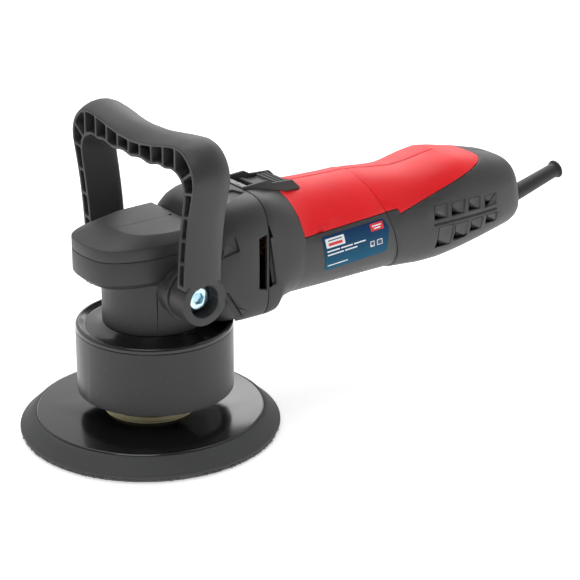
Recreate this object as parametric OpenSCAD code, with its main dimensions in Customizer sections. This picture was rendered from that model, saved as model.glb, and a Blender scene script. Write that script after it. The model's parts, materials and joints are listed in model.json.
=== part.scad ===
// Random-orbital (dual action) polisher with a D-shaped front handle.
// Frame: the spindle axis is X = 0, Y = 0, the pad's working face is Z = 0,
// the motor and the rear grip run towards +X.

/* [Pad] */
// Diameter of the backing pad
pad_d = 150; // [125:1:160]
// Height of the pad's rigid top plate above the working face
pad_plate_z = 12.3; // [11.5:0.1:13]
// Distance from the spindle axis to the pad axis (half the orbit)
orbit_r = 4; // [2:0.5:4]
// Diameter of the rigid top plate
plate_d = 131; // [110:1:132]

/* [Shroud] */
// Outer diameter of the round guard
shroud_d = 90; // [88:1:94]
// Lower edge of the guard
shroud_z0 = 24.3; // [23:0.1:26]
// Seam between the skirt and the cap of the guard
shroud_z1 = 61.5; // [60:0.1:62]
// Top of the guard's rounded lip
shroud_z2 = 65; // [64:0.1:66]

/* [Gear head] */
// Diameter of the neck
neck_d = 59; // [57:1:60]
// Height of the motor axis
axis_z = 94.5; // [94:0.1:95]
// Lower edge of the head
head_z0 = 96.5; // [95:0.5:98]
// Parting line between the case and its cap
head_z1 = 113; // [112:0.5:114]
// Ridge where the bevel of the cap begins
head_z2 = 120; // [118:0.5:121]
// Flat top of the cap
head_z3 = 124.7; // [124:0.1:126]

/* [Motor housing] */
// Outer diameter of the round motor housing
tube_d = 66; // [65:1:67]
// Half width of the box-shaped front housing
box_w = 35.5; // [34:0.5:36]
// Top of the front housing
box_top = 134; // [133:0.5:135]
// Underside of the front housing
box_bottom = 61; // [60:0.5:62]
// Front end of the front housing
box_x0 = 16; // [14:0.5:18]
// Seam between front housing and motor housing
box_x1 = 55; // [54:0.5:56]
// Where the sides of the housing become round
tube_x0 = 84; // [83:1:86]
// Wall thickness of the moulded shells
wall = 2.6; // [2.2:0.1:3]
// Thickness of the two red covers
cover_t = 2.3; // [2:0.1:2.5]
// Open seam between neighbouring shells
seam = 0.35; // [0.2:0.05:0.5]

/* [Rear grip] */
// Foot of the slanted seam between motor housing and grip
seam_x0 = 162; // [160:1:164]
// Head of the slanted seam
seam_x1 = 137; // [135:1:139]
// Rear end of the grip
grip_x1 = 264; // [262:1:266]
// Rear edge of the rear cover
cover_x1 = 236; // [234:1:237]

/* [D handle] */
// Pivot of the handle, X
pivot_x = -0.9; // [-1.5:0.1:0]
// Pivot of the handle, Z
pivot_z = 91.8; // [91:0.1:92.5]
// Front face of the handle
handle_x0 = -13.1; // [-14:0.1:-12]
// Back face of the handle
handle_x1 = 11.5; // [10:0.1:12.5]
// Outer face of the handle's round feet, from the mid plane
foot_y = 51.7; // [51:0.1:53]
// Radius of the round feet
foot_r = 14; // [13:0.5:14]

/* [Gears] */
// Teeth on the pinion
pinion_n = 10; // [10:1:10]
// Teeth on the bevel gear
gear_n = 30; // [30:10:30]
// Pitch radius of the bevel gear at its outer edge
gear_r = 21; // [21:0.5:21]

/* [Cord guard] */
// Bore radius of the cord guard
guard_bore_r = 3.7; // [3:0.1:4]
// Length of the guard outside the grip
guard_len = 56; // [50:1:60]
// Upward slant of the guard, degrees
guard_tilt = 14.5; // [10:0.5:16]

/* [Hidden] */

$fn = 96;
dark = [0.27, 0.27, 0.28];
black = [0.08, 0.08, 0.08];
red = [0.86, 0.12, 0.15];
steel = [0.7, 0.71, 0.73];
copper = [0.72, 0.42, 0.2];
zinc = [0.78, 0.74, 0.45];

run_gap = 0.05;          // radial clearance of a shaft in its bearing
spindle_r = 6;
shaft_r = 4;
tube_r = tube_d / 2;
stator_r = tube_r - wall - cover_t - 0.4;
gear_case_r = 24.5;      // inside of the gear chamber
sides = 40;              // points round a lofted section

// ---------- shared shapes ----------

// A smooth curve through hand-placed points, steps points per span.
function spline(p, steps) = concat(
    [for (i = [0:len(p) - 2], k = [0:steps - 1])
        let (a = p[max(i - 1, 0)], b = p[i], c = p[i + 1], d = p[min(i + 2, len(p) - 1)], t = k / steps)
        0.5 * (2 * b + (c - a) * t + (2 * a - 5 * b + 4 * c - d) * pow(t, 2)
            + (3 * b - a - 3 * c + d) * pow(t, 3))],
    [p[len(p) - 1]]);

function signed_pow(v, e) = sign(v) * pow(abs(v), e);

// Interpolates column col of a table whose first column rises.
function at(table, x, col) = lookup(x, [for (row = table) [row[0], row[col]]]);

// Closed section across X: half width w, top and bottom, a middle height where it is widest, and how boxy its
// upper and lower halves are, where 2 is an ellipse.
function section(x, w, top, bottom, mid, n_up, n_low) = [for (i = [0:sides - 1])
    let (a = 360 * i / sides, n = sin(a) >= 0 ? n_up : n_low, h = sin(a) >= 0 ? top - mid : mid - bottom)
        [x, w * signed_pow(cos(a), 2 / n), mid + h * signed_pow(sin(a), 2 / n)]];

// Solid skin over a list of rings that all have the same number of points.
module skin(rings) {
    m = len(rings[0]);
    last = len(rings) - 1;
    polyhedron(
        points = [for (ring = rings, p = ring) p],
        faces = concat(
            [[for (i = [0:m - 1]) i]],
            [[for (i = [m - 1:-1:0]) last * m + i]],
            [for (k = [0:last - 1], i = [0:m - 1])
                [k * m + (i + 1) % m, k * m + i, (k + 1) * m + i, (k + 1) * m + (i + 1) % m]]));
}

// Cylinder along +X that starts at x.
module along_x(x, r, length, z = axis_z) {
    translate([x, 0, z]) rotate([0, 90, 0]) cylinder(r = r, h = length);
}

// Ring along +X.
module ring_x(x, r_out, r_in, length, z = axis_z) {
    difference() {
        along_x(x, r_out, length, z);
        along_x(x - 1, r_in, length + 2, z);
    }
}

// Ring along +Z.
module ring_z(z, r_out, r_in, height) {
    translate([0, 0, z]) difference() {
        cylinder(r = r_out, h = height);
        translate([0, 0, -1]) cylinder(r = r_in, h = height + 2);
    }
}

// Prism whose outline lies in the XZ plane, from y0 to y1.
module side_prism(outline, y0, y1) {
    translate([0, y1, 0]) rotate([90, 0, 0]) linear_extrude(y1 - y0) polygon(outline);
}

module both_sides() {
    children();
    mirror([0, 1, 0]) children();
}

// ---------- gear head ----------

// Half outline of the head seen from above, from the nose to the back.
head_side = [[-46, 0], [-45.2, 9], [-42.3, 17], [-36, 22.5], [-27, 26.5], [-16, 28.8], [0, 29.6],
    [box_x0, 30]];
head_outline = let (half = spline(head_side, 4)) concat([for (p = half) [p[0], -p[1]]],
    [for (i = [len(half) - 1:-1:1]) half[i]]);

// The head outline at height z, its length and width shrunk by factors from the back's middle.
function head_ring(z, f) = [for (p = head_outline) [box_x0 + (p[0] - box_x0) * f[0], p[1] * f[1], z]];

module head_block(heights, factors) {
    skin([for (i = [0:len(heights) - 1]) head_ring(heights[i], factors[i])]);
}

boss_r = 13.5;
boss_y = 37.2;

module gear_case() color(dark) difference() {
    union() {
        head_block([head_z0, 100, head_z1], [[0.94, 0.9], [1, 1], [1, 1]]);
        translate([0, 0, 66]) cylinder(d = neck_d, h = head_z0 - 66 + 1);
        translate([0, 0, 58.5]) cylinder(r = 24, h = 8);
        both_sides() translate([pivot_x, 20, pivot_z]) rotate([-90, 0, 0])
            cylinder(r = boss_r, h = boss_y - 20);
        both_sides() translate([pivot_x, boss_y - 3, pivot_z]) rotate([-90, 0, 0])
            cylinder(r = boss_r + 1.6, h = 3);
    }
    translate([0, 0, 79]) cylinder(r = gear_case_r, h = 60);
    translate([0, 0, 64]) cylinder(r = 15, h = 20);
    translate([0, 0, 57]) cylinder(r = 12.5, h = 10);
    along_x(0, 17.5, 40);
    both_sides() translate([pivot_x, 25.5, pivot_z]) rotate([-90, 0, 0]) cylinder(r = 4, h = 20);
}

// Flat slice of the head's outline at height z, shrunk by factors from the back's middle.
module head_slice(z, height, f) {
    translate([box_x0, 0, z]) scale([f[0], f[1], 1]) translate([-box_x0, 0, 0]) linear_extrude(height)
        polygon(head_outline);
}

module gear_case_cap() color(dark) difference() {
    hull() {
        head_slice(head_z1 + 0.1, head_z2 - head_z1 - 0.1, [1, 1]);
        head_slice(head_z3 - 0.5, 0.5, [0.67, 0.82]);
    }
    ring_z(head_z1 - 1, gear_case_r, 12.5, 9);
    translate([0, 0, head_z1 - 1]) cylinder(r = 9.5, h = 8);
    for (p = cap_screw_spots) translate([p[0], p[1], head_z1 - 1]) cylinder(r = 1.8, h = 6);
}

cap_screw_spots = [[-37, 14], [-37, -14], [10, 25.8], [10, -25.8]];

module case_screws() color(steel)
    for (p = cap_screw_spots) translate([p[0], p[1], head_z1 + 0.1]) cylinder(r = 1.75, h = 4.5);

// ---------- housings ----------

// Stations of the housing: x, half width, top, bottom, boxiness of the upper and the lower half.
tube_bottom = axis_z - tube_r;
housing_stations = [
    [box_x0, 30, box_top - 10, box_bottom + 5, 2.4, 3.5],
    [18, 31.4, box_top - 6, box_bottom + 3.5, 2.5, 4],
    [21, 33, box_top - 2.8, box_bottom + 2, 2.7, 4.4],
    [26, 34.6, box_top - 0.8, box_bottom + 0.6, 3.1, 4.8],
    [34, box_w - 0.1, box_top + 0.2, box_bottom - 0.2, 3.8, 4.8],
    [42, box_w, box_top + 0.4, box_bottom - 0.7, 4.2, 4.8],
    [58, box_w, box_top, box_bottom - 1.2, 4.4, 4.6],
    [64, 35.4, box_top - 1.1, box_bottom - 0.8, 3.8, 4.3],
    [67, 35.3, box_top - 1.8, box_bottom - 0.1, 3.5, 3.2],
    [70, 35.2, box_top - 2.4, tube_bottom + 0.1, 3.2, 2.6],
    [74, 34.9, box_top - 3, tube_bottom + 0.2, 2.8, 2.25],
    [79, 34.2, box_top - 3.8, tube_bottom + 0.2, 2.4, 2.1],
    [tube_x0, tube_r, box_top - 4.3, tube_bottom + 0.4, 2.05, 2],
    [95, tube_r, box_top - 4.8, tube_bottom + 0.3, 2, 2],
    [105, tube_r, box_top - 5.3, tube_bottom + 0.1, 2, 2],
    [125, tube_r, box_top - 6, tube_bottom, 2, 2],
    [185, tube_r, box_top - 6, tube_bottom, 2, 2]
];
housing_places = [18, 19.5, 21, 23.5, 26, 30, 34, 42, 50, 58, 61, 64, 65.5, 67, 68.5, 70, 72, 74, 76.5, 79,
    81.5, tube_x0, 89, 95, 105, 115, 125];

// One ring of the housing at x, t deeper than its skin.
function housing_ring(x, t) = section(x, at(housing_stations, x, 1) - t, at(housing_stations, x, 2) - t,
    at(housing_stations, x, 3) + t, axis_z, at(housing_stations, x, 4), at(housing_stations, x, 5));

// Rings of the housing from x0 to x1, t deeper than its skin.
function housing_rings(x0, x1, t) = let (inner = [for (v = housing_places) if (v > x0 && v < x1) v])
    [for (x = concat([x0], inner, [x1])) housing_ring(x, t)];

triangle_pocket = [[30.4, 124.5], [34.8, 108.2], [23.5, 106]];
slant_slot = [[23, 85], [27, 85], [39.4, 65], [36, 61.5]];
side_slot = [[48.3, 82.3], [53.8, 80.9], [53.8, 114], [48.3, 112.5]];
louvre = [[box_x1 + 0.6, 114.5], [60.4, 83.2], [box_x1 + 0.6, 82.2]];
thumb_scoop = [[36.5, -21.8], [52, -15], [49.5, -7.5], [36.5, -7.5]];

// Room round the guard under the housing, t wider all round.
module guard_room(t) {
    translate([0, 0, 40]) cylinder(r = shroud_r + 0.7 + t, h = shroud_z2 + 1.4 + t - 40);
}

module front_housing() color(dark) difference() {
    skin(housing_rings(box_x0 + 0.1, box_x1 - seam / 2, 0));
    difference() {
        skin(housing_rings(box_x0 + 3.2, box_x1 + 2, wall));
        guard_room(wall);
    }
    guard_room(0);
    translate([0, 0, 50]) cylinder(r = neck_d / 2 + 0.3, h = head_z1 - 50);
    along_x(box_x0 - 2, gear_case_r - 1, 10);
    both_sides() {
        side_prism(side_slot, 28, 40);
        side_prism(slant_slot, box_w - 3.2, 40);
        side_prism(triangle_pocket, box_w - 2.1, 40);
        translate([0, 0, box_top - 1.4]) linear_extrude(5) polygon([for (p = thumb_scoop) [p[0], -p[1]]]);
    }
    for (p = housing_screw_spots) along_x_at(box_x0, p, 1.8, 9);
}

housing_screw_spots = [[20, 119.5], [-20, 119.5], [27, 72], [-27, 72]];

module along_x_at(x, p, r, length) {
    translate([x, p[0], p[1]]) rotate([0, 90, 0]) cylinder(r = r, h = length);
}

module bearing_plate() color(steel) difference() {
    intersection() {
        skin(housing_rings(30, 36, wall + 0.3));
        translate([30, -60, 40]) cube([6, 120, 120]);
    }
    along_x(20, 11, 30);
    translate([0, 0, 50]) cylinder(r = neck_d / 2 + 0.3, h = head_z1 - 50);
    guard_room(wall + 0.1);
    for (s = [-1, 1], z = [74, 116]) translate([20, s * 22, z]) rotate([0, 90, 0]) cylinder(r = 5, h = 30);
}

// Lower edge line of the front cover: height at x.
function cover_edge(x) = 104.6 + (x - 84) * 0.0386;

// Half space above the slanted seam plane, on the grip's side, shifted by d along X.
grip_side = [[seam_x0, 64], [seam_x0 + 3, 56], [seam_x0 + 3, 40], [320, 40], [320, 150],
    [seam_x1 - 8, 150], [seam_x1, 128]];
module grip_region(d) translate([d, 0, 0]) side_prism(grip_side, -60, 60);

front_cover_area = [[83.5, cover_edge(83.5)], [154, cover_edge(154)], [154, 150], [74, 150], [78.3, 130.5],
    [79.4, 127.6], [80.4, 123.5], [81.7, 116]];

bezel_half = 12;
bezel_x0 = 54.9;
bezel_outline = [[bezel_x0, 126.5], [bezel_x0, 135.5], [71.1, 136.4], [75.3, 134], [89.4, 133.2], [95, 127.8],
    [94, 126.5]];

// Pocket for the switch frame in the housing and the cover.
module switch_cut() side_prism([[bezel_x0 - 0.15, 126.3], [bezel_x0 - 0.15, 140], [95.3, 140], [95.3, 127.6],
    [94.2, 126.3]], -bezel_half - 0.15, bezel_half + 0.15);

// Channel for the switch link along the top of the motor.
module link_channel() translate([58, -4.6, link_z - 2.6]) cube([108, 9.2, 4.9]);

module motor_shape(t) skin(housing_rings(box_x1 + seam / 2, seam_x0 + 20, t));

// Narrow groove along the middle of the covers, as deep as the mould line.
module mould_line(x0, x1) translate([x0, -0.15, axis_z + 20]) cube([x1 - x0, 0.3, 30]);

module motor_housing() color(dark) difference() {
    motor_shape(0);
    along_x(tube_x0 - 2, stator_r + 0.2, 120);
    skin(housing_rings(box_x1 - 1, tube_x0 - 1, wall));
    grip_region(-seam);
    difference() {
        translate([0, 0, -seam]) side_prism(front_cover_area, -60, 60);
        motor_shape(cover_t + 0.2);
    }
    switch_cut();
    link_channel();
    both_sides() side_prism(louvre, box_w - 1.9, 40);
}

module top_cover_front() color(red) difference() {
    intersection() {
        motor_shape(0);
        side_prism(front_cover_area, -60, 60);
    }
    motor_shape(cover_t);
    grip_region(-seam);
    switch_cut();
    link_channel();
    difference() {
        mould_line(90, 160);
        motor_shape(0.4);
    }
}

module rating_label() color("darkslateblue") intersection() {
    difference() {
        motor_shape(-0.18);
        motor_shape(-0.01);
    }
    side_prism([[96, 81], [96, 103], [146, 105], [147.5, 99], [150, 84], [148, 82.6]], -60, 0);
}

module housing_screws() color(steel)
    for (p = housing_screw_spots) along_x_at(box_x0 + 0.4, p, 1.75, 8);

// ---------- rear grip ----------

// Stations of the grip: x, half width, top, bottom, boxiness of the upper and the lower half.
grip_stations = [
    [130, tube_r, 128, tube_bottom, 2, 2],
    [146, tube_r, 126.8, tube_bottom - 0.1, 2.05, 2],
    [160, tube_r, 124.8, 61, 2.2, 2.05],
    [174, 33.1, 123.4, 60.2, 2.4, 2.15],
    [184, 33.2, 124, 59.6, 2.6, 2.25],
    [198, 33, 126, 59.6, 2.9, 2.3],
    [208, 32.6, 127, 60.6, 3, 2.3],
    [216, 32.2, 125.8, 61.8, 3, 2.3],
    [225, 31.6, 123.8, 63.4, 3, 2.3],
    [236, 30.6, 121.6, 65.6, 3, 2.35],
    [248, 28.6, 119.3, 67.7, 3, 2.4],
    [257, 26.4, 117.6, 69.3, 3.1, 2.5],
    [261.5, 24.2, 116.4, 70.8, 3.2, 2.6],
    [263.4, 22.4, 115.2, 72.2, 3.2, 2.6],
    [grip_x1, 20.4, 114, 73.6, 3.2, 2.6]
];
grip_places = [130, 146, 160, 167, 174, 184, 191, 198, 203, 208, 216, 225, 236, 242, 248, 253, 257, 260,
    261.5, 263.4, grip_x1];
lean_x0 = 236;           // from here the end of the grip leans forwards
lean_z = 86;             // above this height

function grip_ring(x, t) = let (top = at(grip_stations, x, 2), bottom = at(grip_stations, x, 3),
    lean = 0.2 * max(0, (x - lean_x0) / (grip_x1 - lean_x0)))
    [for (p = section(x, at(grip_stations, x, 1) - t, top - t, bottom + t, (top + bottom) / 2,
        at(grip_stations, x, 4), at(grip_stations, x, 5))) [p[0] - lean * max(0, p[2] - lean_z), p[1], p[2]]];

module grip_shape(t) skin([for (x = grip_places) if (x < grip_x1 - t) grip_ring(x, t)]);

// Lower edge of the rear cover, from the notch to the tip, then over the top.
rear_cover_low = [[150, 107.2], [154.3, 107.3], [156, 104.2], [176.4, 108.8], [188.7, 112], [201.3, 115.2],
    [210, 117.3], [217, 118.5], [224, 119.6], [230, 120.5], [234, 121.2]];
rear_cover_area = concat(rear_cover_low, [[cover_x1, 124], [cover_x1, 150], [120, 150], [120, 107.2]]);

// Ventilation pockets: x, z, width, height of the shallow frame, height of the deep corner.
vent_pockets = [
    [182, 94.6, 10, 9, 5.6], [196, 94.6, 10, 8.4, 5.3],
    [210.3, 94.5, 9.8, 7.8, 5.3], [224.2, 94, 10.6, 7, 5.6],
    [186, 75, 12.4, 14, 6], [200, 77.4, 11, 11, 6], [213.8, 79.8, 10, 8.2, 5.6], [227.2, 82, 10, 6, 5.6]
];
vent_groove = [[182, 91], [236, 90], [236, 91], [182, 92]];

// A wedge-shaped cut that is flush along its top and rear and deep at its front bottom corner.
module vent_cut(x, z, w, h, skin_y) {
    polyhedron(
        points = [[x, -skin_y - 6, z], [x + w, -skin_y - 6, z], [x, -skin_y - 6, z + h],
            [x, -skin_y + 5.5, z], [x + w, -skin_y + 0.4, z], [x, -skin_y + 0.4, z + h]],
        faces = [[2, 1, 0], [4, 5, 3], [1, 4, 3, 0], [3, 5, 2, 0], [2, 5, 4, 1]]);
}

// Half width of the grip's skin at a place and height.
function grip_skin_y(x, z) = let (t = at(grip_stations, x, 2), b = at(grip_stations, x, 3), m = (t + b) / 2,
    n = at(grip_stations, x, z > m ? 4 : 5), v = abs(z - m) / (t - m))
    at(grip_stations, x, 1) * pow(1 - pow(v, n), 1 / n);

module grip_half() difference() {
    intersection() {
        grip_shape(0);
        translate([100, -60, 40]) cube([180, 60 - 0.08, 120]);
        grip_region(0);
    }
    grip_shape(wall);
    translate([0, 0, -seam]) side_prism(rear_cover_area, -60, 60);
    for (v = vent_pockets) vent_cut(v[0], v[1], v[2], v[4], grip_skin_y(v[0] + v[2] / 2, v[1]));
    difference() {
        union() {
            side_prism(vent_groove, -60, -20);
            for (v = vent_pockets) translate([v[0], -60, v[1]]) cube([v[2], 40, v[3]]);
        }
        grip_shape(0.3);
    }
    guard_frame() translate([0, 0, -20]) cylinder(r = guard_root_r + 0.15, h = 60);
    guard_frame() translate([0, 0, -7.2]) cylinder(r = 8.6, h = 2.6);
    translate([244, -dial_slot, dial_z - 13]) cube([30, 2 * dial_slot, 26]);
}

module rear_shell_left() color(dark) grip_half();
module rear_shell_right() color(dark) mirror([0, 1, 0]) grip_half();

module top_cover_rear() color(red) difference() {
    intersection() {
        grip_shape(0);
        side_prism(rear_cover_area, -60, 60);
        grip_region(0);
    }
    grip_shape(cover_t);
    difference() {
        mould_line(125, 207);
        grip_shape(0.4);
    }
}

// Places children with Z along the cord guard, starting where it leaves the grip.
guard_exit = [264, 0, 78.8];
guard_root_r = 6.2;
module guard_frame() translate(guard_exit) rotate([0, 90 - guard_tilt, 0]) children();

module cord_guard() color(black) guard_frame() difference() {
    union() {
        translate([0, 0, -7]) cylinder(r = guard_root_r, h = 8);
        translate([0, 0, -7]) cylinder(r = 8.4, h = 2.2);
        translate([0, 0, 1]) cylinder(r1 = 5.6, r2 = 4.7, h = guard_len - 1);
        translate([0, 0, guard_len - 1.6]) cylinder(r = 6.1, h = 1.6);
    }
    translate([0, 0, -10]) cylinder(r = guard_bore_r, h = guard_len + 20);
}

module cord_clamp() color(black) difference() {
    translate([236, -9, 70.6]) cube([9, 18, 9]);
    guard_frame() translate([0, 0, -60]) cylinder(r = guard_bore_r, h = 60);
    for (y = [-6.6, 6.6]) translate([240.5, y, 60]) cylinder(r = 1.2, h = 30);
}

// ---------- motor ----------

motor_x0 = 68;
motor_x1 = 104;

module stator_core() color(steel) difference() {
    ring_x(motor_x0, stator_r, 17.2, motor_x1 - motor_x0);
    for (s = [-1, 1]) translate([motor_x0 - 1, -9, axis_z + s * 20.5 - 3])
        cube([motor_x1 - motor_x0 + 2, 18, 6]);
}

module stator_coils() color(copper)
    for (x = [motor_x0 - 6, motor_x1 + 0.1]) difference() {
        ring_x(x, stator_r - 2.5, 18.4, 5.9);
        for (s = [-1, 1]) translate([x - 1, s * 22 - 6, axis_z - 6]) cube([9, 12, 12]);
    }

module armature_shaft() color(steel) difference() {
    along_x(12.5, shaft_r, 131.5);
    along_x(10, 1, 4);
}

module armature_core() color(steel) difference() {
    ring_x(motor_x0, 16.6, shaft_r + 0.02, motor_x1 - motor_x0);
    for (i = [0:11]) translate([0, 0, axis_z]) rotate([30 * i, 0, 0]) translate([motor_x0 - 1, -1.1, 10.5])
        cube([motor_x1 - motor_x0 + 2, 2.2, 8]);
}

module armature_coils() color(copper) {
    ring_x(motor_x0 - 5, 13.5, shaft_r + 0.02, 4.95);
    ring_x(motor_x1 + 0.05, 13.5, shaft_r + 0.02, 5.9);
}

module commutator() color(copper) difference() {
    ring_x(motor_x1 + 7, 10.5, shaft_r + 0.02, 14);
    for (i = [0:23]) translate([0, 0, axis_z]) rotate([15 * i, 0, 0]) translate([motor_x1 + 9, -0.3, 9.6])
        cube([14, 0.6, 2]);
}

module fan() color(black) {
    ring_x(43, 25.5, shaft_r + 0.02, 1.8);
    ring_x(44.8, 9, shaft_r + 0.02, 8);
    for (i = [0:11]) translate([0, 0, axis_z]) rotate([30 * i, 0, 0]) translate([44.79, -0.8, 8.5])
        cube([7.5, 1.6, 16.4]);
}

brush_x = motor_x1 + 14;
module brushes() color([0.2, 0.2, 0.2]) both_sides() translate([brush_x - 3, 10.8, axis_z - 4])
    cube([6, 9, 8]);
module brush_springs() color(steel) both_sides() translate([brush_x, 19.85, axis_z]) rotate([-90, 0, 0])
    ring_z(0, 2.6, 1.9, 5.2);
module brush_holders() color("burlywood") both_sides() difference() {
    translate([brush_x - 5, 14, axis_z - 6]) cube([10, 12.5, 12]);
    translate([brush_x - 3.1, 13, axis_z - 4.1]) cube([6.2, 12.2, 8.2]);
}

// Ball bearing along +Z at the origin.
module bearing(r_out, r_in, width) {
    difference() {
        cylinder(r = r_out, h = width);
        translate([0, 0, -1]) cylinder(r = r_in, h = width + 2);
        difference() {
            translate([0, 0, width - 0.5]) cylinder(r = r_out - 1.6, h = 1);
            translate([0, 0, width - 1]) cylinder(r = r_in + 1.4, h = 2);
        }
    }
}

module motor_bearing_front() color(steel) translate([29.5, 0, axis_z]) rotate([0, 90, 0])
    bearing(10.98, shaft_r + run_gap, 7);
module motor_bearing_rear() color(steel) translate([135, 0, axis_z]) rotate([0, 90, 0])
    bearing(9.5, shaft_r + run_gap, 6);
module rear_bearing_seat() color(dark) difference() {
    union() {
        ring_x(133, 13, 6.5, 9);
        for (a = [45, 135, 225, 315]) translate([133, 0, axis_z]) rotate([a, 0, 0]) translate([0, -2, 12])
            cube([9, 4, stator_r - 12.4]);
    }
    along_x(135, 9.52, 8);
    along_x(132, 6.5, 4);
}

// ---------- spindle ----------

module spindle_bearing_upper() color(steel) translate([0, 0, head_z1])
    bearing(9.48, spindle_r + run_gap, 6.8);
module spindle_bearing_lower() color(steel) translate([0, 0, 68]) bearing(14.98, spindle_r + run_gap, 9);
module spindle_seal() color(black) ring_z(64.2, 14.9, spindle_r + 0.3, 3);

module spindle_shaft() color(steel) {
    translate([0, 0, 42]) cylinder(r = spindle_r, h = head_z1 + 5.5 - 42);
    translate([0, 0, 45.2]) cylinder(r = 9, h = 2.5);
}

// A unit vector on a cone of half angle d at azimuth a, about +X and about -Z.
function pinion_dir(d, a) = [cos(d), sin(d) * cos(a), sin(d) * sin(a)];
function gear_dir(d, a) = [sin(d) * cos(a), sin(d) * sin(a), -cos(d)];

pinion_r = gear_r * pinion_n / gear_n;
cone_len = sqrt(gear_r * gear_r + pinion_r * pinion_r);
pinion_cone = atan(pinion_r / gear_r);
gear_cone = 90 - pinion_cone;
tooth_up = 2.7;          // angle of a tooth's tip above the pitch cone
tooth_down = 3.9;        // angle of a tooth's root below the pitch cone
tooth_inner = 0.8;       // inner end of a tooth, as a share of the cone length

// One straight bevel tooth: corners are the unit directions of its four edges, which meet where
// the axes cross.
module cone_tooth(corners) polyhedron(
    points = concat([for (c = corners) c * cone_len * tooth_inner], [for (c = corners) c * cone_len]),
    faces = [[0, 1, 2, 3], [7, 6, 5, 4], [4, 5, 1, 0], [5, 6, 2, 1], [6, 7, 3, 2], [7, 4, 0, 3]]);

module pinion() color(steel) difference() {
    translate([0, 0, axis_z]) union() {
        rotate([0, 90, 0]) translate([0, 0, gear_r * 0.76]) cylinder(
            r1 = gear_r * 0.76 * tan(pinion_cone - tooth_down + 0.2),
            r2 = gear_r * tan(pinion_cone - tooth_down + 0.2), h = gear_r * 0.24);
        rotate([0, 90, 0]) translate([0, 0, gear_r]) cylinder(r = 5.6, h = 4);
        for (i = [0:pinion_n - 1]) let (a = -90 + i * 360 / pinion_n, lo = pinion_cone - tooth_down - 0.6,
            hi = pinion_cone + tooth_up)
            cone_tooth([pinion_dir(lo, a - 9.5), pinion_dir(hi, a - 4), pinion_dir(hi, a + 4),
                pinion_dir(lo, a + 9.5)]);
    }
    along_x(10, shaft_r + 0.02, 30);
}

// Height of the gear's root cone at radius r.
function root_height(r) = axis_z - r / tan(gear_cone - tooth_down);

module bevel_gear() color(steel) difference() {
    union() {
        rotate_extrude() polygon([[0, 79.6], [22.4, 79.6], [22.4, root_height(22.4)],
            [gear_r * 0.74, root_height(gear_r * 0.74)], [11, 86.2], [10, 89], [0, 89]]);
        translate([0, 0, axis_z]) for (i = [0:gear_n - 1]) let (a = (i + 0.5) * 360 / gear_n,
            lo = gear_cone - tooth_down - 0.6, hi = gear_cone + tooth_up)
            cone_tooth([gear_dir(lo, a + 3.2), gear_dir(hi, a + 1.2), gear_dir(hi, a - 1.2),
                gear_dir(lo, a - 3.2)]);
    }
    translate([0, 0, 70]) cylinder(r = spindle_r + 0.02, h = 30);
}

module gear_nut() color(steel) difference() {
    translate([0, 0, 89.05]) cylinder(r = 8.5, h = 4, $fn = 6);
    translate([0, 0, 80]) cylinder(r = spindle_r + 0.02, h = 30);
}

bearing_z0 = 26;
module eccentric_weight() color([0.45, 0.46, 0.48]) difference() {
    union() {
        translate([-orbit_r, 0, 22]) cylinder(r = 19, h = 22);
        translate([0, 0, 38]) cylinder(r = 13, h = 19);
        intersection() {
            translate([0, 0, 24]) cylinder(r = 39, h = 22);
            translate([6, -40, 20]) cube([40, 80, 30]);
        }
        translate([-6, -12, 24]) cube([14, 24, 20]);
    }
    translate([-orbit_r, 0, 20]) cylinder(r = 14, h = bearing_z0 + 13 - 20);
    translate([0, 0, 41.9]) cylinder(r = spindle_r + 0.02, h = 30);
    translate([0, 0, 45]) cylinder(r = 9.02, h = 2.8);
    translate([0, 0, 57]) cylinder(r = 40, h = 5);
}

module pad_bearing() color(steel) translate([-orbit_r, 0, bearing_z0]) bearing(13.98, 5 + run_gap, 12.5);

// ---------- pad ----------

module on_pad_axis() translate([-orbit_r, 0, 0]) children();

module pad_shaft() color(steel) on_pad_axis() difference() {
    union() {
        translate([0, 0, 17.1]) cylinder(r = 12, h = 3.4);
        translate([0, 0, 17.1]) cylinder(r = 5, h = 20.4);
    }
    translate([0, 0, 16]) cylinder(r = 3, h = 14);
}

module zinc_ring() color(zinc) on_pad_axis() rotate_extrude() polygon([[9, 14], [24.6, 14],
    [24.6, pad_plate_z + 0.1], [26.8, pad_plate_z + 0.1], [26.8, pad_plate_z + 0.9], [26, pad_plate_z + 1.3],
    [26, 15.4], [25.2, 16.2], [24.6, 17], [9, 17]]);

plate_r = plate_d / 2;
pad_r = pad_d / 2;
module pad_plate() color(black) on_pad_axis() rotate_extrude() polygon([[0, 9.9], [plate_r - 0.6, 9.9],
    [plate_r, 10.4], [plate_r, pad_plate_z - 0.7], [plate_r - 0.7, pad_plate_z], [24.4, pad_plate_z],
    [24.4, pad_plate_z + 1.65], [0, pad_plate_z + 1.65]]);

module foam_pad() color([0.23, 0.23, 0.23]) on_pad_axis() rotate_extrude() polygon([[0, 2], [pad_r - 0.6, 2],
    [pad_r, 2.6], [pad_r, 4], [pad_r - 4, 7.4], [plate_r + 2.2, 10.9], [plate_r + 0.6, 11.6],
    [plate_r + 0.05, 11.6], [plate_r + 0.05, 9.85], [0, 9.85]]);

module hook_face() color([0.4, 0.4, 0.4]) on_pad_axis() cylinder(r = pad_d / 2 - 1.4, h = 1.95);

// ---------- shroud ----------

shroud_r = shroud_d / 2;
module shroud_skirt() color(black) rotate_extrude() translate([shroud_r - 2.4, shroud_z0])
    square([2.4, shroud_z1 - shroud_z0]);

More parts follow.
